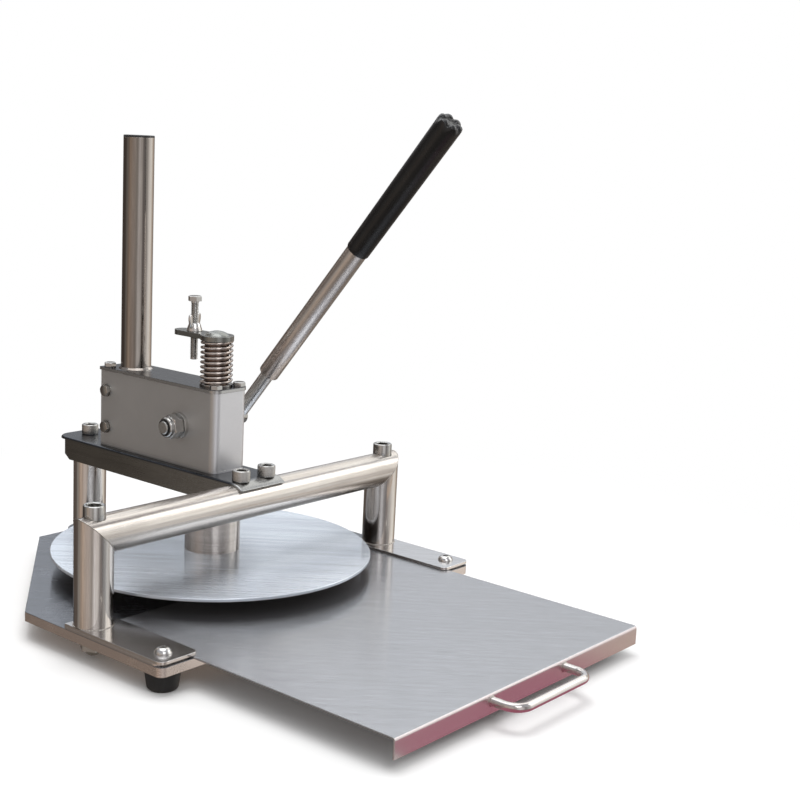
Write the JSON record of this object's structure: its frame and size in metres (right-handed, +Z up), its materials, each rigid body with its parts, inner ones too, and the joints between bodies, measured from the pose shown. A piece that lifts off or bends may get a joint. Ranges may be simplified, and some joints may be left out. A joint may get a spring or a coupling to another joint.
{
  "type": "manual dough press",
  "caption": "Hand press for flattening dough: a lever drives a rack ram with a round steel plate down onto a sliding tray in a tube frame.",
  "frame": {"origin": "centre of the footprint at the lower face of the feet, with the tray pulled out and the lever raised", "axes": "+Z up, +X towards the lever's side, -Y the way the tray slides out"},
  "size_m": [0.384, 0.578, 0.4414],
  "materials": {
    "plate": "brushed",
    "sheet": "satin",
    "tube": "polished",
    "turned": "polished",
    "fastener": "satin",
    "spring_wire": "polished",
    "bush": "oiled bronze",
    "block": "machined",
    "rubber": "smooth",
    "plastic": "matt"
  },
  "bodies": {
    "frame": {"base_plate": "plate", "guide_spacer_left": "plate", "guide_spacer_right": "plate", "guide_rail_left": "plate", "guide_rail_right": "plate", "rail_screws": "fastener", "rear_foot_screws": "fastener", "feet": "rubber", "foot_nuts": "fastener", "post_left": "tube", "post_right": "tube", "cross_tube": "tube", "corner_bolts": "fastener", "corner_nuts": "fastener", "back_post": "tube", "back_bolt": "fastener", "back_nut": "fastener", "top_channel": "sheet", "saddle_bolts": "fastener", "housing_floor": "plate", "housing_cover": "sheet", "housing_rear_plate": "plate", "housing_lid": "plate", "lid_bolts": "fastener", "side_bolts": "fastener", "side_washers": "fastener", "housing_bolts": "fastener", "rear_plate_screws": "fastener", "ram_block": "block", "rear_block": "block", "upper_bush": "bush", "lower_bush": "bush", "shaft_bush_left": "bush", "shaft_bush_right": "bush", "grip_tube": "tube", "grip_tube_cap": "plastic"},
    "press": {"ram": "turned", "ram_collar": "turned", "hub": "turned", "hub_grub_screw": "fastener", "press_plate": "plate", "plate_screw": "fastener", "cap_plate": "plate", "spring": "spring_wire"},
    "stop": {"stop_bolt": "fastener"},
    "wing": {"wing_nut": "turned"},
    "lever": {"pinion_shaft": "turned", "pinion": "turned", "pinion_key": "turned", "shaft_washer": "turned", "lock_nut": "fastener", "shaft_collar": "turned", "lever_rod": "turned", "lever_nut": "fastener", "lever_tube": "tube", "lever_grip": "rubber"},
    "tray": {"tray": "sheet", "tray_handle": "tube"}
  },
  "joints": [
    {"name": "lever_swing", "type": "hinge", "parent": "frame", "child": "lever", "pos_m": [0, 0.115, 0.1575], "axis": [1, 0, 0], "range_deg": [0, 57.2]},
    {"name": "press_slide", "type": "slide", "parent": "frame", "child": "press", "axis": [0, 0, -1], "range_m": [0, 0.016], "stiffness_N_per_m": 3000, "springref_m": -0.035, "deforming": ["spring"]},
    {"name": "tray_slide", "type": "slide", "parent": "frame", "child": "tray", "axis": [0, 1, 0], "range_m": [0, 0.1973]},
    {"name": "stop_adjust", "type": "slide", "parent": "press", "child": "stop", "axis": [0, 0, 1], "range_m": [-0.0025, 0.012]},
    {"name": "wing_nut_spin", "type": "hinge", "parent": "press", "child": "wing", "pos_m": [0, 0.12, 0.241], "axis": [0, 0, 1], "continuous": true}
  ],
  "couplings": [
    {"joint": "press_slide", "follows": "lever_swing", "m_per_rad": 0.016}
  ]
}
